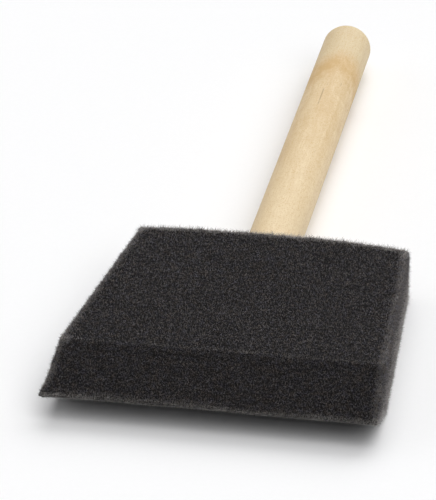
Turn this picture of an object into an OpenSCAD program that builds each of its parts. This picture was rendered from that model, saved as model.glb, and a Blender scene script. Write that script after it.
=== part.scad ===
// Foam sponge brush: a foam head with a chisel tip on a round wooden handle.
// +Y runs along the handle towards its free end, +X across the head, +Z up.
// The origin lies on the handle's axis, in the plane of the foam's back face.

/* [Handle] */
// Diameter of the dowel
handle_d = 12.7; // [10:0.1:16]
// Length of handle that stands out of the foam, dome included
handle_reach = 135; // [60:1:220]
// How much larger the dome's radius is than the dowel's
dome_ease = 0.15; // [0.05:0.05:1]
// Length of the tapered tenon inside the foam
tenon_len = 26; // [18:1:32]
// How much narrower the tenon is at its inner end
tenon_taper = 1.6; // [0.4:0.1:3]
// Depth of the saw kerf from the inner end
kerf_depth = 18; // [12:0.5:24]

/* [Stiffener] */
// Width of the stiffener's paddle
blade_w = 48; // [30:1:56]
// Thickness of the plastic sheet
blade_t = 1.2; // [0.8:0.1:2]
// Radius of the paddle's corners
blade_corner_r = 4; // [1:0.5:6]
// Wood left beside each edge of the tang at the tenon's inner end
tang_inset = 1; // [0.5:0.1:2]
// Room between the tang's end and the kerf's floor
tang_end_gap = 0.5; // [0.1:0.1:1]
// Diameter of each glue keying hole
key_hole_d = 5; // [3:0.5:6]
// Number of keying holes
key_hole_count = 3; // [1:1:4]
// Distance between neighbouring keying holes
key_hole_pitch = 12; // [8:0.5:13]

/* [Fastening] */
// Diameter of the staple's wire
staple_wire_d = 0.8; // [0.5:0.1:1.2]
// Distance between the staple's legs
staple_span = 7; // [4:0.5:9]
// Inside radius of the staple's bends, measured to the wire's axis
staple_bend_r = 0.8; // [0.7:0.1:1.5]
// How far the legs go past the middle of the dowel
staple_bite = 3.5; // [2:0.5:4.5]
// Thickness of the glue on each face of the stiffener
glue_t = 0.4; // [0.2:0.1:1]
// Bare rim of the paddle around the glue
glue_rim = 4; // [1:0.5:6]

/* [Foam head] */
// Width at the back face
foam_back_w = 65.6; // [58:0.1:90]
// Width at the crease, where the bevels start
foam_crease_w = 74.6; // [58:0.1:100]
// Width of the chisel edge
foam_tip_w = 76.2; // [58:0.1:100]
// Thickness at the sides
foam_side_t = 13.3; // [10:0.1:18]
// Foam over the dowel at the back face, which crowns the head there
foam_over_dowel = 1.55; // [0.8:0.05:4]
// Length from the back face to the crease
body_len = 59; // [50:0.5:90]
// Length of the bevels, from the crease to the chisel edge
bevel_len = 16; // [10:0.5:30]
// Thickness of the chisel edge
tip_edge_t = 0.8; // [0.4:0.1:3]

/* [Bending tip] */
// How far the bend's round seat reaches past half the foam's thickness
knuckle_lip = 0.3; // [0.2:0.05:1]
// Gap between the tip's round end and its seat
knuckle_gap = 0.25; // [0.2:0.05:0.5]
// Foam left between the stiffener's pocket and the tip's seat
web_t = 2.5; // [1.5:0.1:6]

/* [Fits] */
// Clearance between the foam and what it holds
foam_fit = 0.15; // [0.1:0.05:0.3]
// Clearance of the tang, the staple and the glue in the parts they fill
tight_fit = 0.05; // [0.02:0.01:0.1]

/* [Hidden] */
$fn = 96;

// Amount by which a cutting shape overshoots the faces it opens
over = 1;
// Strips across each crowned face of the foam
crown_steps = 16;

handle_r = handle_d / 2;
tenon_end_r = handle_r - tenon_taper / 2;
dome_r = handle_r + dome_ease;
dome_y = handle_reach - dome_r;

shoulder_y = -tenon_len;
tang_len = kerf_depth - tang_end_gap;
tang_w = 2 * (tenon_end_r - tang_inset);

side_half_t = foam_side_t / 2;
crown = handle_r + foam_fit + foam_over_dowel - side_half_t;
knuckle_r = side_half_t + knuckle_lip;
seat_r = knuckle_r + knuckle_gap;
blade_front_y = -body_len + seat_r + web_t + foam_fit;
paddle_len = shoulder_y - blade_front_y;
paddle_mid_y = (shoulder_y + blade_front_y) / 2;

wire_r = staple_wire_d / 2;
staple_y = shoulder_y + tang_len / 2;
staple_inner_y = staple_y - staple_span / 2;
// Radius of the tenon at y, on the line from its inner end to the foam's back face
function tenon_r(y) = handle_r + tenon_taper / 2 * y / tenon_len;
staple_crown_z = tenon_r(staple_inner_y) - wire_r - tight_fit;

// A profile drawn in the Y-Z plane, carried across the width w
module across(w) {
    translate([-w / 2, 0, 0]) rotate([90, 0, 90]) linear_extrude(w) children();
}

// A profile drawn as radius and height, spun about the handle's axis
module about_handle() {
    rotate([-90, 0, 0]) rotate_extrude() children();
}

// A rectangle with round corners, centred on the origin
module rounded_rectangle(w, l, r) {
    square([w - 2 * r, l], center = true);
    square([w, l - 2 * r], center = true);
    for (x = [-1, 1], y = [-1, 1]) translate([x * (w / 2 - r), y * (l / 2 - r)]) circle(r);
}

// The staple's wire, thickened all round by extra
module staple_wire(extra) {
    r = wire_r + extra;
    leg_top = staple_crown_z - staple_bend_r;
    translate([0, staple_y, staple_crown_z]) rotate([90, 0, 0])
        cylinder(r = r, h = staple_span - 2 * staple_bend_r, center = true);
    for (side = [-1, 1]) translate([0, staple_y, 0]) scale_side(side) {
        translate([0, staple_span / 2 - staple_bend_r, leg_top]) rotate([90, 0, 90])
            rotate_extrude(angle = 90) translate([staple_bend_r, 0]) circle(r);
        translate([0, staple_span / 2, -staple_bite - extra])
            cylinder(r = r, h = leg_top + staple_bite + extra);
    }
}

// Turns a shape to the other side of the X-Z plane where side is negative
module scale_side(side) {
    if (side < 0) mirror([0, 1, 0]) children();
    else children();
}

// Places of the keying holes across the paddle
module at_key_holes() {
    for (i = [0 : key_hole_count - 1])
        translate([(i - (key_hole_count - 1) / 2) * key_hole_pitch, paddle_mid_y, 0]) children();
}

// Outline of the whole foam head seen from above
module head_plan() {
    edge_y = -body_len - bevel_len;
    polygon([
        [-foam_back_w / 2, 0], [-foam_crease_w / 2, -body_len], [-foam_tip_w / 2, edge_y],
        [foam_tip_w / 2, edge_y], [foam_crease_w / 2, -body_len], [foam_back_w / 2, 0]
    ]);
}

// Outline of the whole foam head seen from the side, without its crown
module head_side() {
    edge_y = -body_len - bevel_len;
    polygon([
        [0, side_half_t], [-body_len, side_half_t], [edge_y, tip_edge_t / 2],
        [edge_y, -tip_edge_t / 2], [-body_len, -side_half_t], [0, -side_half_t]
    ]);
}

// One cross-section of the crowned head: its upper face from left to right, then its lower face back
function head_section(y, w, rise) = [
    for (face = [1, -1], i = [0 : crown_steps])
        let (u = face * (2 * i / crown_steps - 1))
        [u * w / 2, y, face * (side_half_t + rise * (1 - u * u))]
];

// The held part of the head as a solid block: crowned at the back, flat at the crease
module crowned_block() {
    count = 2 * (crown_steps + 1);
    back = head_section(0, foam_back_w, crown);
    front = head_section(-body_len, foam_crease_w, 0);
    walls = [
        for (i = [0 : count - 1])
            let (j = (i + 1) % count)
            each [[i, j, count + j], [i, count + j, count + i]]
    ];
    last = count - 1;
    back_cap = [for (i = [0 : crown_steps - 1]) [last - i, last - 1 - i, i + 1, i]];
    front_cap = [for (strip = back_cap) [for (k = [3 : -1 : 0]) count + strip[k]]];
    polyhedron(concat(back, front), concat(walls, back_cap, front_cap));
}

module handle_dowel() {
    kerf_w = handle_d + 2 * over;
    groove_half_w = wire_r + 2 * tight_fit;
    groove_len = staple_span + 2 * groove_half_w;
    color([0.91, 0.80, 0.63]) difference() {
        about_handle() intersection() {
            polygon([
                [0, -tenon_len], [tenon_end_r, -tenon_len], [handle_r, 0],
                [handle_r, handle_reach + over], [0, handle_reach + over]
            ]);
            union() {
                translate([0, -tenon_len - over]) square([handle_d, dome_y + tenon_len + over]);
                translate([0, dome_y]) circle(dome_r);
            }
        }
        translate([-kerf_w / 2, -tenon_len - over, -blade_t / 2 - tight_fit])
            cube([kerf_w, kerf_depth + over, blade_t + 2 * tight_fit]);
        translate([-groove_half_w, staple_y - groove_len / 2, staple_crown_z - staple_bend_r])
            cube([2 * groove_half_w, groove_len, handle_d]);
        staple_wire(tight_fit);
    }
}

module stiffener_blade() {
    color([0.93, 0.93, 0.90]) difference() {
        linear_extrude(blade_t, center = true) difference() {
            union() {
                translate([0, paddle_mid_y]) rounded_rectangle(blade_w, paddle_len, blade_corner_r);
                translate([-tang_w / 2, shoulder_y - over]) square([tang_w, tang_len + over]);
            }
            at_key_holes() circle(d = key_hole_d);
        }
        staple_wire(tight_fit);
    }
}

module tang_staple() {
    color([0.72, 0.73, 0.75]) staple_wire(0);
}

module glue_bond() {
    corner = blade_corner_r;
    color([0.93, 0.88, 0.72]) union() {
        for (side = [-1, 1])
            translate([0, paddle_mid_y, side * (blade_t + glue_t) / 2])
                linear_extrude(glue_t, center = true)
                    rounded_rectangle(blade_w - 2 * glue_rim, paddle_len - 2 * glue_rim, corner);
        at_key_holes() cylinder(r = key_hole_d / 2 - tight_fit, h = blade_t + glue_t, center = true);
    }
}

module foam_body() {
    pocket_w = blade_w + 2 * foam_fit;
    pocket_t = blade_t + 2 * glue_t + 2 * foam_fit;
    hole_end_y = -tenon_len - foam_fit;
    color([0.20, 0.20, 0.21]) difference() {
        crowned_block();
        about_handle() polygon([
            [0, hole_end_y], [tenon_r(hole_end_y) + foam_fit, hole_end_y],
            [tenon_r(over) + foam_fit, over], [0, over]
        ]);
        translate([-pocket_w / 2, blade_front_y - foam_fit, -pocket_t / 2])
            cube([pocket_w, paddle_len + 2 * foam_fit, pocket_t]);
        translate([0, -body_len, 0]) rotate([0, 90, 0])
            cylinder(r = seat_r, h = foam_tip_w + foam_crease_w, center = true);
    }
}

module foam_tip() {
    color([0.22, 0.22, 0.23]) intersection() {
        translate([0, 0, -foam_side_t]) linear_extrude(2 * foam_side_t) head_plan();
        across(foam_tip_w + foam_crease_w) intersection() {
            head_side();
            union() {
                translate([-body_len - bevel_len - over, -foam_side_t])
                    square([bevel_len + over, 2 * foam_side_t]);
                translate([-body_len, 0]) circle(knuckle_r);
            }
        }
    }
}

handle_dowel();
stiffener_blade();
tang_staple();
glue_bond();
foam_body();
foam_tip();
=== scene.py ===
"""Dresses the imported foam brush: an open-cell foam head, a birch handle, the inner parts and a stage."""

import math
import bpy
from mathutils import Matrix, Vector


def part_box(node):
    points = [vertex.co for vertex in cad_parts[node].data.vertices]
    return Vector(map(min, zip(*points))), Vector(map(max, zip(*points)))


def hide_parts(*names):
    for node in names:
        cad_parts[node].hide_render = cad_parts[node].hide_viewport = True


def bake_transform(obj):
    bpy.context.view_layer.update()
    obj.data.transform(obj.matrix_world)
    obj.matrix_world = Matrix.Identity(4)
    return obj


bl_info = {
    "name": "Foam brush",
    "version": (1, 0, 0),
    "blender": (4, 5, 0),
    "location": "3D View > Sidebar > Foam brush",
    "description": "Shapes the foam head, finishes the handle and the inner parts, and sets a plain stage",
    "category": "Object",
}

from types import SimpleNamespace

import bmesh
import bpy
import numpy as np
from bpy.props import FloatProperty, FloatVectorProperty, IntProperty, PointerProperty
from mathutils import Matrix, Vector, noise

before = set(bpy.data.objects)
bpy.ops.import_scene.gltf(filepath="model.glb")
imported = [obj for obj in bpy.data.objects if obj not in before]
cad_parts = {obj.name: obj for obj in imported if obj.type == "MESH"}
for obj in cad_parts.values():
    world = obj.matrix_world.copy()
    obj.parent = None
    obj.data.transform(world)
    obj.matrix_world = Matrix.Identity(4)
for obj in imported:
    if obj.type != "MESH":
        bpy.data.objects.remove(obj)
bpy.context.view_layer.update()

GLUE_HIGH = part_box("glue_bond")[1]
BLADE_LOW, BLADE_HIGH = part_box("stiffener_blade")
HANDLE_LOW, HANDLE_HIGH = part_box("handle_dowel")
TIP_LOW, TIP_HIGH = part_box("foam_tip")

# The map for a piece's colours.
PAINT_MAP = "OFBake"


def length(name, description, default):
    return FloatProperty(name=name, description=description, default=default, unit="LENGTH", precision=5)


def angle(name, description, degrees):
    return FloatProperty(name=name, description=description, default=math.radians(degrees), subtype="ANGLE")


def share(name, description, default):
    return FloatProperty(
        name=name, description=description, default=default, subtype="FACTOR", min=0.0, max=1.0
    )


def colour(name, description, default):
    return FloatVectorProperty(
        name=name, description=description, default=default, subtype="COLOR", size=3, min=0.0, max=1.0
    )


def shift(name, description, default):
    return FloatVectorProperty(
        name=name, description=description, default=default, subtype="TRANSLATION", size=3, precision=5
    )


class FoamSettings(bpy.types.PropertyGroup):
    back_width: length("Back width", "Width of the foam at the handle", 0.0656)
    crease_width: length("Crease width", "Width where the chisel bevels start", 0.0746)
    tip_width: length("Tip width", "Width along the chisel tip", TIP_HIGH.x - TIP_LOW.x)
    edge_thickness: length("Edge thickness", "Thickness along the two sides", 0.0133)
    crown: length("Crown", "How far the dowel lifts the upper face at the back", 0.0012)
    crown_below: length("Crown below", "How far it pushes out the lower face", 0.0012)
    rest_level: length("Rest level", "Height at which the underside lies flat on the table", -0.0066)
    table_level: length("Table level", "Height of the table that presses the struts flat", -0.00685)
    inset: length("Inset", "Room that the standing struts take up around the cut faces", 0.0004)
    body_length: length("Body length", "From the back face to the crease", 0.059)
    tip_reach: length("Tip reach", "From the back face to the chisel tip", -TIP_LOW.y)
    tip_thickness: length("Tip thickness", "Thickness of the cut edge of the tip", 0.0006)
    pocket_fit: length("Pocket fit", "Clearance of the inner parts in the foam", 0.00015)
    turn: angle("Turn", "How far the head sits askew on the handle", -0.88)
    slide: shift("Slide", "How far the head sits off the handle's axis", (0.00076, -0.00011, 0.0))
    back_left: shift("Back left", "How far the cut strays at this corner", (0.0011, 0.0, 0.0001))
    back_right: shift("Back right", "How far the cut strays at this corner", (0.0006, 0.0, -0.0002))
    crease_left: shift("Crease left", "How far the cut strays at this corner", (-0.0005, 0.0, -0.0001))
    crease_right: shift("Crease right", "How far the cut strays at this corner", (-0.0001, 0.0, 0.0003))
    tip_left: shift("Tip left", "How far the cut strays at this corner", (-0.0004, 0.0, 0.0))
    tip_right: shift("Tip right", "How far the cut strays at this corner", (-0.0004, 0.0, 0.0))
    tip_horn: shift("Tip horn", "How far the tip's left corner is dragged out", (-0.0012, -0.0002, -0.0003))
    waver: length("Waver", "How uneven the cut faces are", 0.00022)
    waver_seed: IntProperty(name="Waver seed", description="Which uneven cut it is", default=2, min=1)
    cell: length("Cell", "Size of one foam cell", 0.00072)
    cell_depth: length("Cell depth", "How deep the cells are open at the surface", 0.00042)
    grid: length("Grid", "Spacing of the foam's mesh", 0.00035)
    strut_count: IntProperty(name="Struts", description="Cut struts on a full group of faces", default=47000)
    strut_length: length("Strut length", "Longest strut on an open face", 0.0007)
    strut_radius: length("Strut radius", "Radius at the foot of a strut", 0.0001)
    edge_reach: length("Edge reach", "How far from a cut edge the foam is frayed", 0.0019)
    # The pore colour is painted shade in the depth of a cell; the darkest struts take it too.
    pore_colour: colour("Pore colour", "Colour in the depth of a cell", (0.0012, 0.0011, 0.0013))
    wall_colour: colour("Wall colour", "Colour of the cell walls at the surface", (0.022, 0.0203, 0.0208))
    strut_colour: colour("Strut colour", "Colour of the palest struts", (0.256, 0.2385, 0.2395))
    # The fringe colour: partly the frayed foam, partly painted light on the edges, the tip and the sides'
    # feet.
    fringe_and_painted_light_colour: colour("Fringe colour", "Colour of the frayed edges", (0.330, 0.298, 0.265))


class WoodSettings(bpy.types.PropertyGroup):
    pale: colour("Pale wood", "Colour of the pale birch", (0.81, 0.663, 0.436))
    warm: colour("Warm wood", "Colour of the warmer streaks", (0.635, 0.455, 0.24))
    # The amber also gives the painted shade along one side of the handle.
    amber: colour("Amber wood", "Colour of the grain arch and the darker side", (0.53, 0.305, 0.08))
    fleck: colour("Flecks", "Colour of the dark pores", (0.30, 0.18, 0.085))
    end: colour("Rounded end", "Colour of the paler wood towards the rounded end", (0.69, 0.592, 0.396))
    face_turn: angle("Face turn", "Which way round the dowel its grain arch faces", -34.0)
    arch_place: length("Arch place", "Where the top of the grain arch is, from the foam", 0.1064)
    arch_drop: length("Arch drop", "How far the grain arch falls back at its sides", 0.0052)
    split_place: length("Split place", "Where the middle of the longest dark pore is", 0.0835)
    split_length: length("Split length", "Length of the longest dark pore", 0.011)
    split_across: FloatProperty(
        name="Split across", description="Its place across the handle, from -1 to 1", default=-0.545
    )


class StageSettings(bpy.types.PropertyGroup):
    azimuth: angle("Azimuth", "How far the camera stands round to the right", 10.14)
    elevation: angle("Elevation", "How high the camera stands", 26.17)
    roll: angle("Roll", "How far the camera leans", -0.19)
    distance: length("Distance", "Camera's distance from its target", 0.9553)
    target: shift("Target", "Point in the middle of the picture", (-0.01251, 0.00408, 0.0))
    lens: FloatProperty(name="Lens", description="Focal length", default=288.0, unit="CAMERA")
    floor_level: length("Floor level", "Height of the table top", -0.0069)
    floor_colour: colour("Floor", "Colour of the floor", (0.97, 0.97, 0.975))
    back_light: share("Back light", "Share of the light from behind", 0.34)
    front_light: share("Front light", "Share from the right front", 0.34)
    left_light: share("Left light", "Share from low on the left", 0.05)
    top_light: share("Top light", "Share from straight above", 0.17)
    sky_light: share("Sky light", "Share from all round", 0.12)


def nothing_selected():
    """Leaves edit mode and deselects everything, so that an operator acts on the next piece alone."""
    if bpy.context.mode != "OBJECT":
        bpy.ops.object.mode_set(mode="OBJECT")
    bpy.ops.object.select_all(action="DESELECT")


def only(obj):
    """Selects one object and makes it the active one."""
    nothing_selected()
    obj.select_set(True)
    bpy.context.view_layer.objects.active = obj


def pick_faces(obj, test):
    """Selects the faces of a mesh in edit mode that pass a test."""
    bpy.ops.mesh.select_all(action="DESELECT")
    mesh = bmesh.from_edit_mesh(obj.data)
    found = [face for face in mesh.faces if test(face)]
    if not found:
        raise RuntimeError(f"{obj.name}: no face to work on")
    for face in found:
        face.select_set(True)
    bmesh.update_edit_mesh(obj.data)


def apply_place():
    """Puts the active object's place, turn and scale into its mesh."""
    bpy.ops.object.transform_apply(location=True, rotation=True, scale=True)


def apply_all(obj):
    """Applies all the modifiers of an object, in their order."""
    only(obj)
    for modifier in list(obj.modifiers):
        bpy.ops.object.modifier_apply(modifier=modifier.name)


def copy_of(obj, name):
    """A copy of an object with its own mesh."""
    copy = obj.copy()
    copy.data = obj.data.copy()
    copy.name = name
    bpy.context.scene.collection.objects.link(copy)
    return copy


def points_of(mesh):
    found = np.empty(len(mesh.vertices) * 3, np.float32)
    mesh.vertices.foreach_get("co", found)
    return found.reshape(-1, 3).astype(float)


def normals_of(mesh):
    found = np.empty(len(mesh.vertices) * 3, np.float32)
    mesh.vertex_normals.foreach_get("vector", found)
    return found.reshape(-1, 3).astype(float)


def set_points(mesh, points):
    mesh.vertices.foreach_set("co", points.astype(np.float32).ravel())
    mesh.update()


def set_attribute(mesh, name, values):
    attribute = mesh.attributes.new(name, "FLOAT", "POINT")
    attribute.data.foreach_set("value", values.astype(np.float32))


class Nodes:
    """A material with one Principled shader, and short words to add and link nodes."""

    def __init__(self, name):
        self.material = bpy.data.materials.new(name)
        self.material.use_nodes = True
        self.tree = self.material.node_tree
        self.tree.nodes.clear()
        self.shader = self.tree.nodes.new("ShaderNodeBsdfPrincipled")
        output = self.tree.nodes.new("ShaderNodeOutputMaterial")
        self.tree.links.new(self.shader.outputs["BSDF"], output.inputs["Surface"])
        self.place = None

    def add(self, kind, inputs=None, **settings):
        node = self.tree.nodes.new(kind)
        for name, value in settings.items():
            setattr(node, name, value)
        for name, value in (inputs or {}).items():
            self.feed(node.inputs[name], value)
        return node

    def feed(self, socket, value):
        """Links a socket to another, or sets it to a value."""
        if isinstance(value, bpy.types.NodeSocket):
            self.tree.links.new(value, socket)
        else:
            socket.default_value = value

    def where(self):
        """Object coordinates, in metres."""
        if self.place is None:
            self.place = self.add("ShaderNodeTexCoord").outputs["Object"]
        return self.place

    def axis(self, vector, name):
        return self.add("ShaderNodeSeparateXYZ", {"Vector": vector}).outputs[name]

    def attribute(self, name):
        return self.add("ShaderNodeAttribute", attribute_name=name).outputs["Fac"]

    def stretched(self, scale, turn=(0.0, 0.0, 0.0)):
        """Object coordinates, turned and scaled."""
        inputs = {"Vector": self.where(), "Scale": scale, "Rotation": turn}
        return self.add("ShaderNodeMapping", inputs).outputs["Vector"]

    def noise(self, vector, scale, detail=2.0, roughness=0.5, distortion=0.0):
        inputs = {
            "Vector": vector,
            "Scale": scale,
            "Detail": detail,
            "Roughness": roughness,
            "Distortion": distortion,
        }
        return self.add("ShaderNodeTexNoise", inputs).outputs["Fac"]

    def cells(self, vector, scale, feature="F1"):
        node = self.add("ShaderNodeTexVoronoi", {"Vector": vector, "Scale": scale}, feature=feature)
        return node.outputs["Distance"]

    def ramp(self, factor, *stops):
        """Maps a number through stops of (place, value), where a value is a number or a colour."""
        node = self.add("ShaderNodeValToRGB", {"Fac": factor})
        marks = node.color_ramp.elements
        while len(marks) < len(stops):
            marks.new(0.5)
        for mark, (place, value) in zip(marks, stops, strict=True):
            mark.position = place
            value = (value, value, value) if isinstance(value, (int, float)) else tuple(value)
            mark.color = (*value, 1.0)
        return node.outputs["Color"]

    def mix(self, factor, a, b, blend="MIX"):
        """Mixes two colours, each a socket or three numbers. A Mix node has its colours at 6, 7 and 2."""
        node = self.add("ShaderNodeMix", data_type="RGBA", blend_type=blend, clamp_factor=True)
        self.feed(node.inputs[0], factor)
        self.feed(node.inputs[6], (*a, 1.0) if not isinstance(a, bpy.types.NodeSocket) else a)
        self.feed(node.inputs[7], (*b, 1.0) if not isinstance(b, bpy.types.NodeSocket) else b)
        return node.outputs[2]

    def maths(self, operation, a, b=0.0):
        node = self.add("ShaderNodeMath", operation=operation)
        self.feed(node.inputs[0], a)
        self.feed(node.inputs[1], b)
        return node.outputs[0]

    def bump(self, height, strength, distance):
        node = self.add("ShaderNodeBump", {"Height": height, "Strength": strength, "Distance": distance})
        self.feed(self.shader.inputs["Normal"], node.outputs["Normal"])

    def set(self, **values):
        """Sets or links the shader's own sockets, with _ for a space in a socket's name."""
        for name, value in values.items():
            self.feed(self.shader.inputs[name.replace("_", " ")], value)


def dress(node, material):
    """Gives a CAD node its finish."""
    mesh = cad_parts[node].data
    mesh.materials.clear()
    mesh.materials.append(material)


def drifting(n, base):
    """Lets a foam colour drift between slightly cool and slightly warm, from patch to patch."""
    cool, even, warm = (0.92, 0.94, 1.10), (1.0, 1.0, 1.0), (1.10, 1.0, 0.90)
    patches = n.noise(n.where(), 900.0, 2.0, 0.55)
    return n.mix(1.0, base, n.ramp(patches, (0.36, cool), (0.5, even), (0.64, warm)), "MULTIPLY")


def foam_material(s):
    """Charcoal foam: painted shade in its cells, darkest where the surface sinks, with a web of thin paler
    walls.
    """
    n = Nodes("charcoal_foam")
    fine = n.noise(n.where(), 2600.0, 2.0, 0.6)
    cell_edges = n.cells(n.where(), 1700.0, "DISTANCE_TO_EDGE")
    small_edges = n.cells(n.where(), 3100.0, "DISTANCE_TO_EDGE")
    small_web = n.ramp(small_edges, (0.03, 0.6), (0.2, 0.0))
    web = n.maths("MAXIMUM", n.ramp(cell_edges, (0.03, 1.0), (0.2, 0.0)), small_web)
    # Painted shade: the lower a point of the surface lies in its cell, the darker it is.
    level = n.maths("MULTIPLY", web, n.ramp(n.attribute("pore"), (0.0, 0.3), (1.0, 1.0)))
    level = n.maths("MULTIPLY", level, n.ramp(fine, (0.3, 0.5), (0.7, 1.0)))
    n.set(Base_Color=drifting(n, n.mix(level, s.pore_colour, s.wall_colour)))
    n.set(Roughness=n.ramp(fine, (0.3, 0.78), (0.7, 0.96)))
    n.set(Specular_IOR_Level=0.08)
    n.bump(web, 0.6, 0.00025)
    return n.material


def strut_material(s):
    """Cut struts, each with a tone of its own, pale and translucent where they are frayed, the paleness
    partly painted light.
    """
    n = Nodes("charcoal_foam_struts")
    fray_and_painted_light = n.attribute("fray_and_painted_light")
    plain = drifting(n, n.mix(n.attribute("tone"), s.pore_colour, s.strut_colour))
    n.set(Base_Color=n.mix(fray_and_painted_light, plain, s.fringe_and_painted_light_colour))
    speckle = n.noise(n.where(), 900.0, 2.0, 0.6)
    n.set(Roughness=n.ramp(speckle, (0.3, 0.7), (0.7, 0.9)))
    n.set(Specular_IOR_Level=0.2)
    n.set(Subsurface_Weight=fray_and_painted_light)
    n.set(Subsurface_Radius=(1.0, 1.0, 1.0))
    n.set(Subsurface_Scale=0.0003)
    return n.material


# Lengths of the handle, in metres: what a ramp along it covers, what a ramp across the grain arch covers, and
# how far the arch's outline wanders.
ALONG_SPAN = 0.1
ARCH_SPAN = 0.02
ARCH_RAGGED = 0.009


def warm_grain(n, s, along, across, mottle):
    """Pale wood with warm mottling, ripples and streaks, paler again near the foam, and a warm tint that is
    partly painted shade.
    """
    ripple = n.noise(n.stretched((0.4, 1.5, 0.4)), 420.0, 2.0, 0.6)
    streaks = n.noise(n.stretched((1.0, 0.045, 1.0)), 700.0, 3.0, 0.6, 0.3)
    base = n.mix(n.ramp(mottle, (0.34, 0.0), (0.70, 0.60)), s.pale, s.warm)
    base = n.mix(n.ramp(ripple, (0.45, 0.0), (0.75, 0.30)), base, s.warm)
    base = n.mix(n.ramp(streaks, (0.42, 0.0), (0.70, 0.58)), base, s.warm)
    reach = n.maths("MULTIPLY", along, 1.0 / ALONG_SPAN)
    base = n.mix(n.ramp(reach, (0.15, 0.7), (0.7, 0.0)), base, s.pale)
    # A warm tint a little left of the middle of the outer half: partly a streak, partly painted shade on the
    # lit middle.
    from_streak_and_shade = n.maths("ABSOLUTE", n.maths("ADD", across, 0.45))
    streak_and_shade = n.ramp(from_streak_and_shade, (0.1, 0.38), (0.5, 0.0))
    outer_half = n.ramp(reach, (0.55, 0.0), (0.75, 1.0))
    return n.mix(n.maths("MULTIPLY", streak_and_shade, outer_half), base, s.warm)


def past_arch(n, s, along, across, mottle):
    """How far towards the rounded end a place lies, against the ragged grain arch."""
    drop = n.maths("MULTIPLY", n.maths("MULTIPLY", across, across), s.arch_drop)
    ragged = n.maths("MULTIPLY", n.maths("SUBTRACT", mottle, 0.5), ARCH_RAGGED)
    beyond = n.maths("ADD", n.maths("ADD", along, drop), ragged)
    beyond = n.maths("SUBTRACT", beyond, s.arch_place - ARCH_SPAN / 2)
    return n.maths("MULTIPLY", beyond, 1.0 / ARCH_SPAN)


def amber_arch(n, beyond):
    """Where the amber of the grain arch lies, in blotches."""
    arch = n.ramp(beyond, (0.0, 0.0), (0.36, 0.60), (0.56, 0.60), (0.98, 0.0))
    blotches = n.noise(n.stretched((1.0, 0.7, 1.0)), 560.0, 3.0, 0.65)
    return n.maths("MULTIPLY", arch, n.ramp(blotches, (0.34, 0.45), (0.64, 1.0)))


def short_pores(n, beyond):
    """Where the few short dark pores lie, which stop at the grain arch."""
    dashes = n.cells(n.stretched((1.0, 0.085, 1.0)), 900.0)
    sparse = n.noise(n.where(), 130.0, 1.0)
    marks = n.ramp(dashes, (0.08, 1.0), (0.15, 0.0))
    marks = n.maths("MULTIPLY", marks, n.ramp(sparse, (0.54, 0.0), (0.62, 0.5)))
    return n.maths("MULTIPLY", marks, n.ramp(beyond, (0.5, 1.0), (0.8, 0.0)))


def longest_pore(n, s, along, across, mottle):
    """Where the longest dark pore lies, broken by the mottling."""
    aside = n.maths("ABSOLUTE", n.maths("SUBTRACT", across, s.split_across))
    split = n.ramp(aside, (0.010, 0.56), (0.028, 0.0))
    from_split = n.maths("ABSOLUTE", n.maths("SUBTRACT", along, s.split_place))
    from_split = n.maths("DIVIDE", from_split, s.split_length)
    split = n.maths("MULTIPLY", split, n.ramp(from_split, (0.38, 1.0), (0.5, 0.0)))
    return n.maths("MULTIPLY", split, n.ramp(mottle, (0.42, 0.35), (0.5, 1.0)))


def birch_material(s):
    """Birch with warm grain, an amber grain arch, paler wood beyond it and dark pores."""
    n = Nodes("birch")
    along = n.axis(n.where(), "Y")
    across = n.axis(n.stretched((1.0, 1.0, 1.0), turn=(0.0, s.face_turn, 0.0)), "X")
    across = n.maths("DIVIDE", across, HANDLE_HIGH.x)
    mottle = n.noise(n.stretched((1.0, 0.5, 1.0)), 330.0, 3.0, 0.6)
    fibres = n.noise(n.stretched((1.0, 0.07, 1.0)), 3200.0, 3.0, 0.65)
    speckle = n.noise(n.stretched((1.0, 0.5, 1.0)), 3400.0, 2.0, 0.6)
    beyond = past_arch(n, s, along, across, mottle)
    base = warm_grain(n, s, along, across, mottle)
    base = n.mix(n.ramp(beyond, (0.6, 0.0), (0.95, 0.60)), base, s.end)
    base = n.mix(n.ramp(fibres, (0.44, 0.0), (0.76, 0.45)), base, s.warm)
    base = n.mix(n.ramp(speckle, (0.48, 0.0), (0.70, 0.42)), base, s.amber)
    # Painted shade: amber along the side of the handle where across is -1.
    from_shaded_side = n.maths("ADD", n.maths("MULTIPLY", across, 0.5), 0.5)
    base = n.mix(n.ramp(from_shaded_side, (0.0, 0.12), (0.2, 0.0)), base, s.amber)
    base = n.mix(amber_arch(n, beyond), base, s.amber)
    pores = n.maths("MAXIMUM", short_pores(n, beyond), longest_pore(n, s, along, across, mottle))
    n.set(Base_Color=n.mix(pores, base, s.fleck))
    n.set(Roughness=n.ramp(fibres, (0.3, 0.5), (0.75, 0.68)))
    n.set(Specular_IOR_Level=0.3)
    n.bump(fibres, 0.25, 0.00012)
    return n.material


def plastic_material():
    """Hazy off-white plastic sheet."""
    n = Nodes("stiffener_plastic")
    haze = n.noise(n.where(), 300.0, 3.0)
    n.set(Base_Color=n.ramp(haze, (0.3, (0.80, 0.80, 0.75)), (0.7, (0.90, 0.90, 0.86))))
    n.set(Roughness=n.ramp(haze, (0.3, 0.34), (0.7, 0.5)))
    n.bump(n.noise(n.where(), 2200.0, 2.0), 0.15, 0.00005)
    return n.material


def steel_material():
    """Drawn steel wire."""
    n = Nodes("staple_wire")
    drawn = n.noise(n.stretched((1.0, 1.0, 0.1)), 5200.0, 2.0)
    n.set(Base_Color=n.ramp(drawn, (0.3, (0.46, 0.47, 0.49)), (0.7, (0.64, 0.65, 0.67))))
    n.set(Metallic=1.0)
    n.set(Roughness=n.ramp(drawn, (0.3, 0.26), (0.7, 0.44)))
    n.bump(drawn, 0.2, 0.00003)
    return n.material


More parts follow.
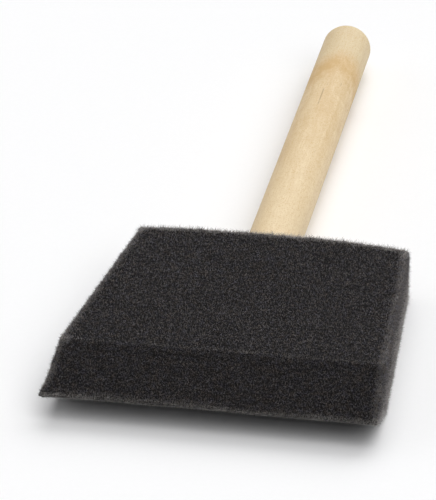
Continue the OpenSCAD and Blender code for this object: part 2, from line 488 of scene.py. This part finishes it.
def glue_material():
    """Cloudy amber hot-melt glue."""
    n = Nodes("hot_melt_glue")
    cloud = n.noise(n.where(), 220.0, 3.0)
    n.set(Base_Color=n.ramp(cloud, (0.3, (0.80, 0.69, 0.43)), (0.7, (0.90, 0.82, 0.60))))
    n.set(Roughness=n.ramp(cloud, (0.3, 0.16), (0.7, 0.3)))
    n.bump(n.noise(n.where(), 500.0, 2.0), 0.3, 0.0002)
    return n.material


# The dragged-out corner of the tip: where it starts, as a share of the half width, and its length in metres.
HORN_START = 0.875
HORN_REACH = 0.006

# How often the block is divided before its points are moved, and how tight its uneven cut is, per metre.
BLOCK_CUTS = 15
WAVER_SCALE = 75.0

# The cutters: how far the hole's stands out of the back, how many sides it has and how much narrower it ends,
# and where the pocket's stops, in from the back.
HOLE_OVERRUN = 0.003
HOLE_SIDES = 64
HOLE_TAPER = 0.0008
POCKET_BACK = -0.005

# A cut edge turns at least this far. A crown or a wavering face turns less.
SHARP_TURN = math.radians(14.0)

# The skin that breaks into cells: whole this near to a cut face, and gone this far from it.
SKIN_NEAR = 0.0005
SKIN_FAR = 0.0009

# The size and depth of the grit, against the cells, and the level that neither rises nor sinks.
GRIT_SHARE = 0.6
LEVEL_SKIN = 0.55

# The heights that count as the bottom and the top of a cell, as percentiles of all the points.
PORE_RANGE = [4.0, 96.0]


def along_foam(s, y, tip, crease, back):
    """A value at places along the foam, from its values at the tip, the crease and the back."""
    return np.interp(y, [-s.tip_reach, -s.body_length, 0.0], [tip, crease, back])


def half_width(s, y):
    """Half the foam's width, without its struts."""
    return along_foam(s, y, s.tip_width / 2, s.crease_width / 2, s.back_width / 2) - s.inset


def half_thickness(s, y):
    """Half the foam's thickness along its sides, without its struts."""
    edge = s.edge_thickness / 2 - s.inset
    return along_foam(s, y, s.tip_thickness / 2, edge, edge)


def stray(s, across, y):
    """How far the hand-cut foam strays from its pattern, from its six named corners and its horn."""
    left = [along_foam(s, y, s.tip_left[i], s.crease_left[i], s.back_left[i]) for i in range(3)]
    right = [along_foam(s, y, s.tip_right[i], s.crease_right[i], s.back_right[i]) for i in range(3)]
    to_right = (across + 1.0) / 2.0
    strayed = ((1.0 - to_right) * np.array(left) + to_right * np.array(right)).T
    sideways = np.clip((-across - HORN_START) / (1.0 - HORN_START), 0.0, 1.0)
    forwards = np.clip((-y - s.tip_reach + HORN_REACH) / HORN_REACH, 0.0, 1.0)
    at_horn = sideways * forwards**2
    return strayed + at_horn[:, None] * np.array(s.tip_horn)


def untwisted(s, points):
    """Places on the finished head, turned and slid back onto the handle's axis."""
    turn = np.array(Matrix.Rotation(-s.turn, 3, "Z"))
    return (points - np.array(s.slide)) @ turn.T


def cut_block(s):
    """The foam as it is cut: flared, and bevelled from both faces to the tip."""
    back, crease, tip = (2.0 * float(half_width(s, y)) for y in (0.0, -s.body_length, -s.tip_reach))
    thick = 2.0 * float(half_thickness(s, 0.0))
    nothing_selected()
    bpy.ops.mesh.primitive_cube_add(
        size=1.0, location=(0.0, -s.body_length / 2, 0.0), scale=(back, s.body_length, thick)
    )
    block = bpy.context.object
    block.name = "foam_block"
    apply_place()
    bpy.ops.object.mode_set(mode="EDIT")
    pick_faces(block, lambda face: face.normal.y < -0.9)
    bpy.ops.transform.resize(value=(crease / back, 1.0, 1.0), center_override=(0.0, -s.body_length, 0.0))
    bevel = s.tip_reach - s.inset - s.body_length
    # The face is extruded by itself. A region extrude has no fixed order, so runs would differ.
    bpy.ops.mesh.extrude_faces_move(TRANSFORM_OT_shrink_fatten={"value": bevel})
    bpy.ops.transform.resize(
        value=(tip / crease, 1.0, s.tip_thickness / thick), center_override=(0.0, -s.tip_reach, 0.0)
    )
    bpy.ops.mesh.select_all(action="SELECT")
    bpy.ops.mesh.subdivide(number_cuts=BLOCK_CUTS)
    bpy.ops.object.mode_set(mode="OBJECT")
    return block


def settle_block(s, block):
    """Crowns the cut foam over the dowel, lays it flat on the table, and makes it uneven and askew."""
    points = points_of(block.data)
    x, y, z = points.T
    across = np.clip(x / half_width(s, y), -1.0, 1.0)
    up = np.clip(z / half_thickness(s, y), -1.0, 1.0)
    lift = np.where(up > 0.0, s.crown, s.crown_below) * np.clip(1.0 + y / s.body_length, 0.0, 1.0)
    moved = points.copy()
    moved[:, 2] += lift * (1.0 - across**2) * up
    moved[:, 2] = np.maximum(moved[:, 2], s.rest_level)
    noise.seed_set(s.waver_seed)
    wander = [noise.noise_vector(Vector(p) * WAVER_SCALE) for p in points]
    moved += s.waver * np.array([list(w) for w in wander])
    turn = Matrix.Rotation(s.turn, 3, "Z")
    moved = moved @ np.array(turn).T + np.array(s.slide) + stray(s, across, y)
    set_points(block.data, moved)


def pocket_cutters(s):
    """The tenon's tapered hole and the stiffener's flat pocket, as solids to cut away."""
    nothing_selected()
    reach = -HANDLE_LOW.y + s.pocket_fit
    wide = HANDLE_HIGH.x + s.pocket_fit
    bpy.ops.mesh.primitive_cone_add(
        vertices=HOLE_SIDES,
        radius1=wide,
        radius2=wide - HOLE_TAPER,
        depth=reach + HOLE_OVERRUN,
        location=(0.0, (HOLE_OVERRUN - reach) / 2, 0.0),
        rotation=(math.radians(90.0), 0.0, 0.0),
    )
    hole = bpy.context.object
    apply_place()
    nothing_selected()
    front = BLADE_LOW.y - s.pocket_fit
    bpy.ops.mesh.primitive_cube_add(
        size=1.0,
        location=(0.0, (front + POCKET_BACK) / 2, 0.0),
        scale=(2 * (BLADE_HIGH.x + s.pocket_fit), POCKET_BACK - front, 2 * (GLUE_HIGH.z + s.pocket_fit)),
    )
    pocket = bpy.context.object
    apply_place()
    return hole, pocket


def hollow_foam(s, block, cutters):
    """The foam head: a copy of the block with the hole and the pocket cut out, on an even mesh."""
    foam = copy_of(block, "foam_head")
    for cutter in cutters:
        cut = foam.modifiers.new("cut", "BOOLEAN")
        cut.operation = "DIFFERENCE"
        cut.solver = "EXACT"
        cut.object = cutter
    remesh = foam.modifiers.new("even", "REMESH")
    remesh.mode = "VOXEL"
    remesh.voxel_size = s.grid
    soften = foam.modifiers.new("soften", "SMOOTH")
    soften.factor = 0.5
    soften.iterations = 1
    apply_all(foam)
    bpy.ops.object.mode_set(mode="EDIT")
    bpy.ops.mesh.select_all(action="SELECT")
    bpy.ops.uv.smart_project(angle_limit=math.radians(66.0), island_margin=0.004)
    bpy.ops.object.mode_set(mode="OBJECT")
    foam.data.uv_layers[0].name = PAINT_MAP
    return foam


def cut_edges(block):
    """The lines along which the foam is cut: a copy of the block that keeps only its sharp edges."""
    edges = copy_of(block, "foam_cut_edges")
    only(edges)
    bpy.ops.object.mode_set(mode="EDIT")
    bpy.ops.mesh.select_mode(type="EDGE")
    bpy.ops.mesh.select_all(action="DESELECT")
    bpy.ops.mesh.edges_select_sharp(sharpness=SHARP_TURN)
    bpy.ops.mesh.select_all(action="INVERT")
    bpy.ops.mesh.delete(type="EDGE")
    bpy.ops.mesh.select_mode(type="VERT")
    bpy.ops.object.mode_set(mode="OBJECT")
    if not edges.data.edges:
        raise RuntimeError("the foam block has no sharp edges")
    return edges


def weigh_nearness(obj, name, target, part, far, near):
    """Makes a vertex group that is 1 where a target is near and 0 where it is far, and reads it."""
    group = obj.vertex_groups.new(name=name)
    group.add(range(len(obj.data.vertices)), 1.0, "REPLACE")
    weigh = obj.modifiers.new(name, "VERTEX_WEIGHT_PROXIMITY")
    weigh.vertex_group = name
    weigh.target = target
    weigh.proximity_mode = "GEOMETRY"
    weigh.proximity_geometry = {part}
    weigh.min_dist = far
    weigh.max_dist = near
    apply_all(obj)
    index = obj.vertex_groups[name].index
    return np.array([sum(g.weight for g in v.groups if g.group == index) for v in obj.data.vertices])


def open_cells(s, foam):
    """Breaks the foam's skin into cells, presses it flat on the table and notes each point's height, for
    painted shade.
    """
    smooth = points_of(foam.data)
    outward = normals_of(foam.data)
    for name, kind, size, depth in (
        ("cells", "VORONOI", s.cell, s.cell_depth),
        ("grit", "CLOUDS", s.cell * GRIT_SHARE, s.cell_depth * GRIT_SHARE),
    ):
        texture = bpy.data.textures.new(name, kind)
        texture.noise_scale = size
        displace = foam.modifiers.new(name, "DISPLACE")
        displace.texture = texture
        displace.texture_coords = "LOCAL"
        displace.strength = depth
        displace.mid_level = LEVEL_SKIN
        displace.vertex_group = "skin"
    apply_all(foam)
    rough = points_of(foam.data)
    rough[:, 2] = np.maximum(rough[:, 2], s.table_level)
    set_points(foam.data, rough)
    height = ((rough - smooth) * outward).sum(1)
    low, high = np.percentile(height, PORE_RANGE)
    set_attribute(foam.data, "pore", np.clip((height - low) / (high - low), 0.0, 1.0))
    foam.vertex_groups.clear()


class FOAMBRUSH_OT_foam_head(bpy.types.Operator):
    """Cut the foam head, open its hole and pocket, and break its surface into cells"""

    bl_idname = "foambrush.foam_head"
    bl_label = "Foam head"

    def execute(self, context):
        s = context.scene.foam_brush_foam
        block = cut_block(s)
        settle_block(s, block)
        cutters = pocket_cutters(s)
        foam = hollow_foam(s, block, cutters)
        edges = cut_edges(block)
        edge = weigh_nearness(foam, "near_edge", edges, "EDGE", s.edge_reach, 0.0)
        set_attribute(foam.data, "edge", edge)
        weigh_nearness(foam, "skin", block, "FACE", SKIN_FAR, SKIN_NEAR)
        open_cells(s, foam)
        only(foam)
        bpy.ops.object.shade_smooth()
        foam.data.materials.clear()
        foam.data.materials.append(foam_material(s))
        for helper in (block, edges, *cutters):
            bpy.data.objects.remove(helper)
        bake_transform(foam)
        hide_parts("foam_body", "foam_tip")
        return {"FINISHED"}


# Each group of struts is a piece: its share of the full count, and the seed of its random draws.
STRUT_PIECES = {
    "foam_struts_top": (1.0, 7),
    "foam_struts_bottom": (0.8, 11),
    "foam_struts_bevel_top": (0.66, 13),
    "foam_struts_bevel_bottom": (0.5, 19),
    "foam_struts_sides": (1.0, 17),
}

# A face whose normal has at least this much up or down in it is on a face or a bevel, and not on a side.
FLAT_NORMAL = 0.6

# The zones of the foam, with their reaches in metres. Pale says how far a strut goes to the fringe's colour,
# partly fraying and partly painted light, and even how alike the struts are in that. Stretch and slim scale
# a strut's length and radius, and crowd says how many more struts stand there. A side pales downwards by the
# power of its fade, as painted light from the table.
INSIDE = SimpleNamespace(from_side=0.004, from_face=0.0012, from_back=0.0015)
# Cut edges pale partly by fraying and partly as painted rim light, the left ones more.
CUT_EDGE = SimpleNamespace(left_pale=0.6, right_pale=0.3, stretch=1.1, thinning=0.5, crowd=3.2)
# The back rim pales partly by fraying and partly as painted rim light; the faces near the back pale too.
BACK_RIM = SimpleNamespace(reach=0.004, pale=1.15, stretch=1.9)
BACK_PALING = SimpleNamespace(reach=0.006, pale=0.16)
# Just above the crease the struts pale: a painted highlight along the ridge.
CREASE = SimpleNamespace(reach=0.003, from_side=0.002, pale=0.45, stretch=0.7, slim=1.05, crowd=0.8)
# A side's struts pale towards its foot by the power of its fade: painted light from the table.
BODY = SimpleNamespace(slim=1.0, table_light_fade=1.4)
BEVEL = SimpleNamespace(slim=0.8, table_light_fade=1.1)
NEAR_TIP = SimpleNamespace(reach=0.0012, stretch=0.6, even=0.7, crowd=2.0)
# The tip's edge, its cut end and its right corner pale partly by fraying and partly as painted rim light.
TIP_LINE = SimpleNamespace(reach=0.0005, pale=0.6, crowd=4.0, lowest_normal=-0.3)
CUT_END = SimpleNamespace(pale=0.4, even=0.25, forward_normal=-0.5)
TIP_CORNER = SimpleNamespace(reach=0.0015, pale=0.7, crowd=4.0)

# The frayed edges and their painted light are uneven: how tight the patches are, per metre, how strong, and
# the least and the most.
PATCH_SCALE = 420.0
PATCH_STRENGTH = 1.1
PATCH_LIMITS = (0.2, 1.9)

# One strut against the next: the least and the most of its length and its radius, how far its foot strays on
# the mesh, how far it leans, how much of it is under the surface, and how its tone and its fray and painted
# light vary. The struts of a bevel or a side are darker by their tone, as painted shade.
STRUT_LENGTHS = (0.3, 1.0)
STRUT_RADII = (0.55, 1.05)
STRUT_STRAY = 0.3
STRUT_LEAN = 0.6
STRUT_UNDER = 0.25
TONE_POWER = 0.9
FRAY_AND_LIGHT_SPREAD = 0.95
SHADED_TONE = 0.8

# Where the corners of a strut's triangles lie in its own square of the map.
MAP_CORNERS = [(0.15, 0.15), (0.85, 0.15), (0.5, 0.85)]


def read_faces(mesh):
    """Each face's middle, outward direction and area."""
    count = len(mesh.polygons)
    middle = np.empty(count * 3, np.float32)
    outward = np.empty(count * 3, np.float32)
    area = np.empty(count, np.float32)
    mesh.polygons.foreach_get("center", middle)
    mesh.polygons.foreach_get("normal", outward)
    mesh.polygons.foreach_get("area", area)
    return middle.reshape(-1, 3).astype(float), outward.reshape(-1, 3).astype(float), area.astype(float)


def read_edge(mesh):
    """How near each face is to a cut edge, by its first corner."""
    starts = np.empty(len(mesh.polygons), np.int32)
    corners = np.empty(len(mesh.loops), np.int32)
    edge = np.empty(len(mesh.vertices), np.float32)
    mesh.polygons.foreach_get("loop_start", starts)
    mesh.loops.foreach_get("vertex_index", corners)
    mesh.attributes["edge"].data.foreach_get("value", edge)
    return edge[corners[starts]].astype(float)


def find_zones(s, mesh):
    """Which zones of the foam each of its faces is in."""
    middle, outward, area = read_faces(mesh)
    x, y, z = untwisted(s, middle).T
    from_side = half_width(s, y) - np.abs(x)
    from_face = half_thickness(s, y) - np.abs(z)
    near_tip = y < s.inset + NEAR_TIP.reach - s.tip_reach
    tip_line = np.clip((s.inset + TIP_LINE.reach - s.tip_reach - y) / TIP_LINE.reach, 0.0, 1.0)
    tip_line = tip_line * (outward[:, 2] > TIP_LINE.lowest_normal)
    inside = (from_side > INSIDE.from_side) & (from_face > INSIDE.from_face) & (y < -INSIDE.from_back)
    return SimpleNamespace(
        middle=middle,
        outward=outward,
        area=area,
        edge=read_edge(mesh),
        inside=inside,
        upward=outward[:, 2] > 0.0,
        flat=np.abs(outward[:, 2]) > FLAT_NORMAL,
        bevelled=y < -s.body_length,
        right=x > 0.0,
        lower=np.clip(0.5 - 0.5 * z / half_thickness(s, y), 0.0, 1.0),
        back_rim=y > -BACK_RIM.reach,
        back_paling=np.clip(1.0 + y / BACK_PALING.reach, 0.0, 1.0),
        crease=(np.abs(y + s.body_length) < CREASE.reach) & (from_side > CREASE.from_side),
        near_tip=near_tip,
        tip_line=tip_line,
        cut_end=tip_line * (outward[:, 1] < CUT_END.forward_normal),
        tip_corner=near_tip & (np.abs(from_side) < TIP_CORNER.reach) & (x > 0.0),
    )


def fray_and_painted_light_paleness(at):
    """How pale the struts are, from 0 to 1: most along the back rim and the tip, partly frayed and partly
    painted rim light, and at the foot of each side, painted light from the table.
    """
    edges = np.where(at.right, CUT_EDGE.right_pale, CUT_EDGE.left_pale) * at.edge
    # A painted highlight on the struts just above the crease.
    pale = np.where(at.crease, CREASE.pale * at.edge * ~at.bevelled, edges)
    pale = np.where(at.back_rim, np.minimum(BACK_RIM.pale * np.sqrt(at.edge), 1.0), pale)
    uneven = np.array([noise.noise(Vector(place) * PATCH_SCALE) for place in at.middle])
    pale = pale * np.clip(1.0 + PATCH_STRENGTH * uneven, *PATCH_LIMITS)
    pale = pale + BACK_PALING.pale * at.back_paling
    # Painted light from the table: each side's struts pale towards its foot.
    sides = at.lower ** np.where(at.bevelled, BEVEL.table_light_fade, BODY.table_light_fade)
    pale = np.where(at.flat, pale, sides)
    tip = TIP_LINE.pale * at.tip_line + CUT_END.pale * at.cut_end
    pale = np.maximum(pale, np.where(at.tip_corner, TIP_CORNER.pale, tip))
    return np.clip(pale, 0.0, 1.0)


def strut_look(at):
    """How the struts of each face look: how pale and how evenly so, how long, how thin and of what tone."""
    stretch = 1.0 + np.where(at.back_rim, BACK_RIM.stretch, CUT_EDGE.stretch) * at.edge
    stretch = np.where(at.crease, CREASE.stretch, stretch)
    slim = np.where(at.crease, CREASE.slim, 1.0 - CUT_EDGE.thinning * at.edge)
    return SimpleNamespace(
        pale=fray_and_painted_light_paleness(at),
        even=NEAR_TIP.even * at.near_tip + CUT_END.even * at.cut_end,
        stretch=np.where(at.near_tip, NEAR_TIP.stretch, stretch),
        slim=np.where(at.bevelled, BEVEL.slim, BODY.slim) * slim,
        # Painted shade: the struts of the bevels and the sides take a darker tone.
        tone=np.where(at.flat & ~at.bevelled, 1.0, SHADED_TONE),
    )


def strut_crowd(at):
    """How many struts stand on each face, against an open face of its size."""
    crowd = np.where(at.near_tip, NEAR_TIP.crowd, CUT_EDGE.crowd)
    crowd = np.where(at.crease, CREASE.crowd, crowd) * at.edge
    return 1.0 + (crowd + TIP_LINE.crowd * at.tip_line + TIP_CORNER.crowd * at.tip_corner)


def one_strut():
    """The cut end of a strut, one unit tall and one in radius: its points and its triangles."""
    nothing_selected()
    middle = (0.0, 0.0, 0.5)
    bpy.ops.mesh.primitive_cone_add(vertices=3, radius1=1.0, radius2=0.25, depth=1.0, location=middle)
    strut = bpy.context.object
    apply_place()
    bpy.ops.object.mode_set(mode="EDIT")
    bpy.ops.mesh.select_all(action="DESELECT")
    mesh = bmesh.from_edit_mesh(strut.data)
    for vertex in mesh.verts:
        vertex.select_set(vertex.co.z > 0.5)
    bmesh.update_edit_mesh(strut.data)
    bpy.ops.mesh.merge(type="CENTER")
    bpy.ops.mesh.select_all(action="SELECT")
    bpy.ops.mesh.quads_convert_to_tris()
    bpy.ops.object.mode_set(mode="OBJECT")
    points = points_of(strut.data)
    triangles = np.array([list(face.vertices) for face in strut.data.polygons])
    bpy.data.objects.remove(strut)
    return points, triangles


def stand_struts(s, at, look, shape, picked, rng):
    """The points of a strut on each picked face, leaning its own way and of its own size."""
    count = len(picked)
    foot = at.middle[picked] + rng.normal(size=(count, 3)) * s.grid * STRUT_STRAY
    lean = at.outward[picked] + STRUT_LEAN * rng.normal(size=(count, 3))
    lean /= np.linalg.norm(lean, axis=1, keepdims=True)
    side = np.cross(lean, rng.normal(size=(count, 3)))
    side /= np.linalg.norm(side, axis=1, keepdims=True)
    third = np.cross(lean, side)
    tall = (s.strut_length * look.stretch[picked] * rng.uniform(*STRUT_LENGTHS, count))[:, None, None]
    thick = (s.strut_radius * look.slim[picked] * rng.uniform(*STRUT_RADII, count))[:, None, None]
    points = foot[:, None] + thick * (shape[:, :1] * side[:, None] + shape[:, 1:2] * third[:, None])
    points += tall * (shape[:, 2:] - STRUT_UNDER) * lean[:, None]
    points[..., 2] = np.maximum(points[..., 2], s.table_level)
    return points


def mesh_of_struts(name, points, triangles):
    """One mesh of all the struts, from each one's points and the triangles that they share."""
    count, corners, _ = points.shape
    every = (triangles[None] + corners * np.arange(count)[:, None, None]).reshape(-1, 3)
    mesh = bpy.data.meshes.new(name)
    mesh.vertices.add(count * corners)
    mesh.vertices.foreach_set("co", points.astype(np.float32).ravel())
    mesh.loops.add(every.size)
    mesh.loops.foreach_set("vertex_index", every.astype(np.int32).ravel())
    mesh.polygons.add(len(every))
    mesh.polygons.foreach_set("loop_start", np.arange(0, every.size, 3, dtype=np.int32))
    mesh.update(calc_edges=True)
    mesh.validate()
    return mesh


def lay_out_struts(mesh, count, triangles):
    """Gives every strut a small square of its own on the map for the colours."""
    side = math.ceil(math.sqrt(count))
    layer = mesh.uv_layers.new(name=PAINT_MAP)
    strut = np.repeat(np.arange(count), triangles * 3)
    spot = np.tile(MAP_CORNERS, (count * triangles, 1))
    cell = np.stack([strut % side, strut // side], 1)
    layer.uv.foreach_set("vector", ((cell + spot) / side).astype(np.float32).ravel())


def raise_struts(s, name, at, look, weight, count, seed, material):
    """Stands struts on the foam's faces, as many on each as its weight says, as one piece."""
    shape, triangles = one_strut()
    rng = np.random.default_rng(seed)
    so_far = np.cumsum(weight) / weight.sum()
    steps = (np.arange(count) + rng.uniform(0.0, 1.0, count)) / count
    picked = np.minimum(np.searchsorted(so_far, steps), len(weight) - 1)
    points = stand_struts(s, at, look, shape, picked, rng)
    mesh = mesh_of_struts(name, points, triangles)
    tone = look.tone[picked] * rng.uniform(0.0, 1.0, count) ** TONE_POWER
    set_attribute(mesh, "tone", np.repeat(tone, len(shape)))
    # Each strut's paleness: partly fraying, partly painted light.
    spread = 1.0 - (1.0 - look.even[picked]) * rng.uniform(0.0, FRAY_AND_LIGHT_SPREAD, count)
    set_attribute(mesh, "fray_and_painted_light", np.repeat(look.pale[picked] * spread, len(shape)))
    lay_out_struts(mesh, count, len(triangles))
    mesh.materials.append(material)
    struts = bpy.data.objects.new(name, mesh)
    bpy.context.scene.collection.objects.link(struts)
    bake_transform(struts)


class FOAMBRUSH_OT_foam_struts(bpy.types.Operator):
    """Stand the cut ends of cell struts on the foam, longer and paler along its frayed edges, the paleness
    partly painted light
    """

    bl_idname = "foambrush.foam_struts"
    bl_label = "Foam struts"

    def execute(self, context):
        s = context.scene.foam_brush_foam
        foam = bpy.data.objects.get("foam_head")
        if foam is None:
            raise RuntimeError("the foam head comes before its struts")
        at = find_zones(s, foam.data)
        groups = {
            "foam_struts_top": at.flat & ~at.bevelled & at.upward,
            "foam_struts_bottom": at.flat & ~at.bevelled & ~at.upward,
            "foam_struts_bevel_top": at.flat & at.bevelled & at.upward,
            "foam_struts_bevel_bottom": at.flat & at.bevelled & ~at.upward,
            "foam_struts_sides": ~at.flat,
        }
        look = strut_look(at)
        crowd = strut_crowd(at)
        material = strut_material(s)
        for name, (part, seed) in STRUT_PIECES.items():
            weight = at.area * groups[name] * ~at.inside * crowd
            raise_struts(s, name, at, look, weight, int(part * s.strut_count), seed, material)
        return {"FINISHED"}


class FOAMBRUSH_OT_birch_handle(bpy.types.Operator):
    """Give the dowel its birch grain, its amber arch and its paler end"""

    bl_idname = "foambrush.birch_handle"
    bl_label = "Birch handle"

    def execute(self, context):
        dress("handle_dowel", birch_material(context.scene.foam_brush_wood))
        return {"FINISHED"}


class FOAMBRUSH_OT_inner_parts(bpy.types.Operator):
    """Finish the stiffener, the staple and the glue inside the foam"""

    bl_idname = "foambrush.inner_parts"
    bl_label = "Inner parts"

    def execute(self, context):
        dress("stiffener_blade", plastic_material())
        dress("tang_staple", steel_material())
        dress("glue_bond", glue_material())
        return {"FINISHED"}


# Each lamp's turn round the brush, from its right, and its height, in degrees.
LAMPS = {
    "back_light": (78.0, 44.0),
    "front_light": (307.0, 50.0),
    "left_light": (182.0, 26.0),
    "top_light": (0.0, 90.0),
}
LAMP_SPREAD = math.radians(55.0)

# The table's size in metres, how dark its grain is against its colour, and the little glow that it shows.
TABLE_SIZE = 8.0
TABLE_GRAIN = 0.99
TABLE_GLOW = 0.004

# The rays that see the pale background: the camera's own, and those by way of gloss or glass.
SEEING_RAYS = ("Is Camera Ray", "Is Glossy Ray", "Is Transmission Ray")

SKY_COLOUR = (0.98, 0.98, 1.0, 1.0)
WHITE = (1.0, 1.0, 1.0, 1.0)


def floor_material(s):
    """A plain white table with a faint grain."""
    n = Nodes("white_table")
    grain = n.noise(n.where(), 900.0, 2.0)
    darker = [c * TABLE_GRAIN for c in s.floor_colour]
    n.set(Base_Color=n.ramp(grain, (0.3, darker), (0.7, s.floor_colour)))
    n.set(Roughness=0.9, Specular_IOR_Level=0.0)
    path = n.add("ShaderNodeLightPath")
    shown = path.outputs[SEEING_RAYS[0]]
    for ray in SEEING_RAYS[1:]:
        shown = n.maths("MAXIMUM", shown, path.outputs[ray])
    n.set(Emission_Color=WHITE, Emission_Strength=n.maths("MULTIPLY", shown, TABLE_GLOW))
    return n.material


def set_camera(s):
    """Stands the camera at the photograph's angle, on a long lens."""
    outward = Vector(
        (
            math.sin(s.azimuth) * math.cos(s.elevation),
            -math.cos(s.azimuth) * math.cos(s.elevation),
            math.sin(s.elevation),
        )
    )
    data = bpy.data.cameras.new("camera")
    data.lens = s.lens
    data.sensor_width = 36.0
    data.clip_start = 0.05
    data.clip_end = 20.0
    camera = bpy.data.objects.new("camera", data)
    bpy.context.scene.collection.objects.link(camera)
    facing = (-outward).to_track_quat("-Z", "Y").to_matrix() @ Matrix.Rotation(s.roll, 3, "Z")
    place = Vector(s.target) + outward * s.distance
    camera.matrix_world = Matrix.Translation(place) @ facing.to_4x4()
    bpy.context.scene.camera = camera


def set_light(name, part, turn, height):
    """A wide soft lamp that gives a part of the table's light, from a turn round the brush and a height."""
    data = bpy.data.lights.new(name, "SUN")
    data.energy = part * math.pi / math.sin(height)
    data.angle = LAMP_SPREAD
    light = bpy.data.objects.new(name, data)
    light.rotation_mode = "QUATERNION"
    toward = Vector((math.cos(height) * math.cos(turn), math.cos(height) * math.sin(turn), math.sin(height)))
    light.rotation_quaternion = toward.to_track_quat("Z", "Y")
    bpy.context.scene.collection.objects.link(light)


def set_world(s):
    """A dim even sky that the camera sees as white."""
    world = bpy.data.worlds.new("soft_sky")
    bpy.context.scene.world = world
    world.use_nodes = True
    tree = world.node_tree
    tree.nodes.clear()
    out = tree.nodes.new("ShaderNodeOutputWorld")
    plain = tree.nodes.new("ShaderNodeBackground")
    plain.inputs["Color"].default_value = SKY_COLOUR
    plain.inputs["Strength"].default_value = s.sky_light
    white = tree.nodes.new("ShaderNodeBackground")
    white.inputs["Color"].default_value = WHITE
    white.inputs["Strength"].default_value = 1.0
    mix = tree.nodes.new("ShaderNodeMixShader")
    path = tree.nodes.new("ShaderNodeLightPath")
    shown = path.outputs[SEEING_RAYS[0]]
    for ray in SEEING_RAYS[1:]:
        either = tree.nodes.new("ShaderNodeMath")
        either.operation = "MAXIMUM"
        tree.links.new(shown, either.inputs[0])
        tree.links.new(path.outputs[ray], either.inputs[1])
        shown = either.outputs[0]
    tree.links.new(shown, mix.inputs["Fac"])
    tree.links.new(plain.outputs["Background"], mix.inputs[1])
    tree.links.new(white.outputs["Background"], mix.inputs[2])
    tree.links.new(mix.outputs["Shader"], out.inputs["Surface"])


class FOAMBRUSH_OT_stage(bpy.types.Operator):
    """Set the table, the soft light and the camera"""

    bl_idname = "foambrush.stage"
    bl_label = "Stage"

    def execute(self, context):
        s = context.scene.foam_brush_stage
        nothing_selected()
        bpy.ops.mesh.primitive_plane_add(size=TABLE_SIZE, location=(0.0, 0.0, s.floor_level))
        table = context.object
        table.name = "table"
        apply_place()
        table.data.materials.append(floor_material(s))
        for name, (turn, height) in LAMPS.items():
            set_light(name, getattr(s, name), math.radians(turn), math.radians(height))
        set_world(s)
        set_camera(s)
        context.scene.view_settings.view_transform = "Standard"
        return {"FINISHED"}


class FOAMBRUSH_PT_panel(bpy.types.Panel):
    """Lists the steps that dress the foam brush"""

    bl_idname = "FOAMBRUSH_PT_panel"
    bl_label = "Foam brush"
    bl_space_type = "VIEW_3D"
    bl_region_type = "UI"
    bl_category = "Foam brush"

    def draw(self, context):
        column = self.layout.column()
        for step in STEPS:
            column.operator(step.bl_idname)


SETTINGS = {
    "foam_brush_foam": FoamSettings,
    "foam_brush_wood": WoodSettings,
    "foam_brush_stage": StageSettings,
}
STEPS = (
    FOAMBRUSH_OT_foam_head,
    FOAMBRUSH_OT_foam_struts,
    FOAMBRUSH_OT_birch_handle,
    FOAMBRUSH_OT_inner_parts,
    FOAMBRUSH_OT_stage,
)


def register():
    for group in SETTINGS.values():
        bpy.utils.register_class(group)
    for name, group in SETTINGS.items():
        setattr(bpy.types.Scene, name, PointerProperty(type=group))
    for step in (*STEPS, FOAMBRUSH_PT_panel):
        bpy.utils.register_class(step)


def unregister():
    for step in reversed((*STEPS, FOAMBRUSH_PT_panel)):
        bpy.utils.unregister_class(step)
    for name, group in SETTINGS.items():
        delattr(bpy.types.Scene, name)
        bpy.utils.unregister_class(group)


def main():
    register()
    bpy.ops.foambrush.foam_head()
    bpy.ops.foambrush.foam_struts()
    bpy.ops.foambrush.birch_handle()
    bpy.ops.foambrush.inner_parts()
    bpy.ops.foambrush.stage()


if __name__ == "__main__":
    main()
